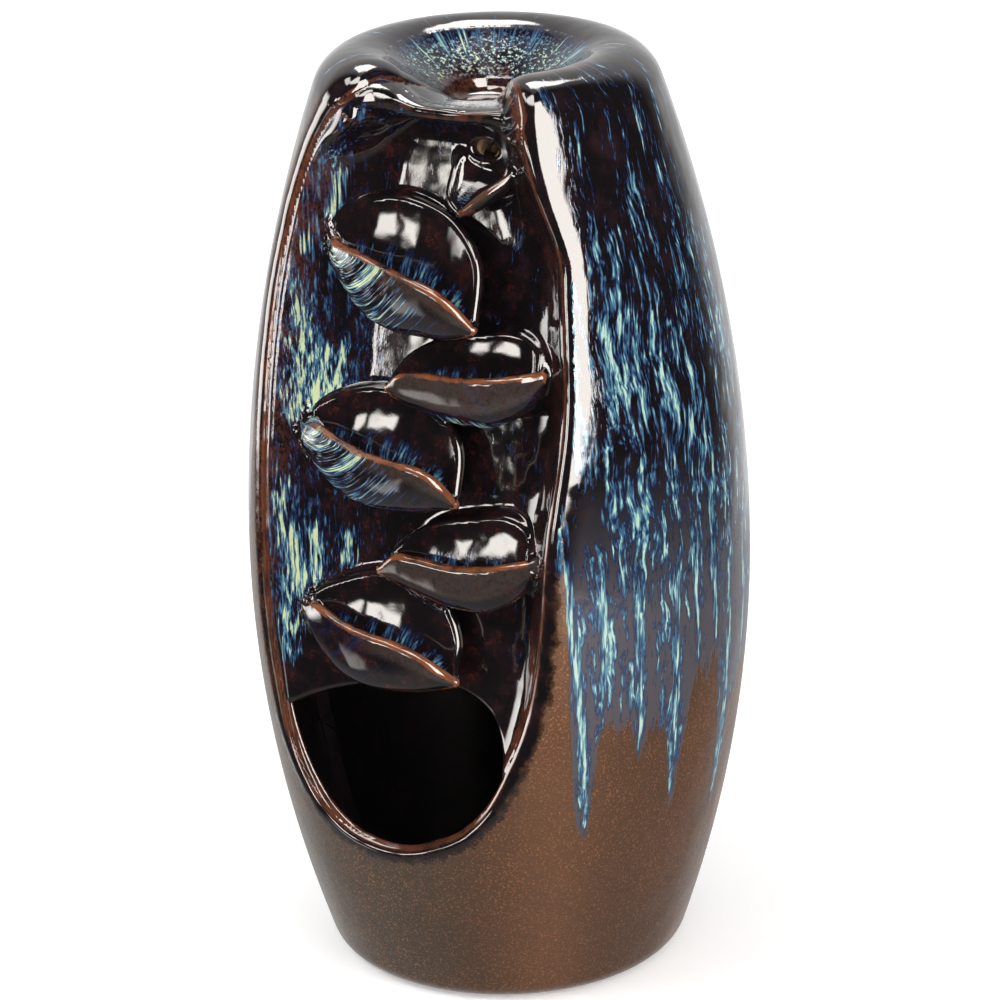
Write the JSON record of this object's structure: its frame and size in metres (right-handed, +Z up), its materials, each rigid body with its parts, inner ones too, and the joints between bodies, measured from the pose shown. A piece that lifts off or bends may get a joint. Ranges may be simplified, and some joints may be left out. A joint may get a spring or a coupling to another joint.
{
  "type": "backflow incense burner",
  "caption": "Glazed stoneware barrel with an open front, where smoke from a cone in the top dish sinks through a duct and falls from leaf cup to leaf cup into a cave.",
  "frame": {"origin": "centre of the foot, on the plane that the burner stands on", "axes": "+Z up along the barrel's axis; the open front faces -Y"},
  "size_m": [0.1232, 0.1162, 0.23],
  "materials": {
    "glaze": "glossy black-brown stoneware glaze with blue and teal runs",
    "bare_clay": "bare fired stoneware, matt"
  },
  "bodies": {
    "root": {"vessel": "glaze", "base_disc": "bare_clay", "cascade_panel": "glaze", "cone_dish": "glaze", "smoke_duct": "bare_clay", "spout_leaf": "glaze", "left_leaf_upper": "glaze", "left_leaf_middle": "glaze", "left_leaf_lower": "glaze", "right_leaf_upper": "glaze", "right_leaf_lower": "glaze"}
  },
  "joints": []
}
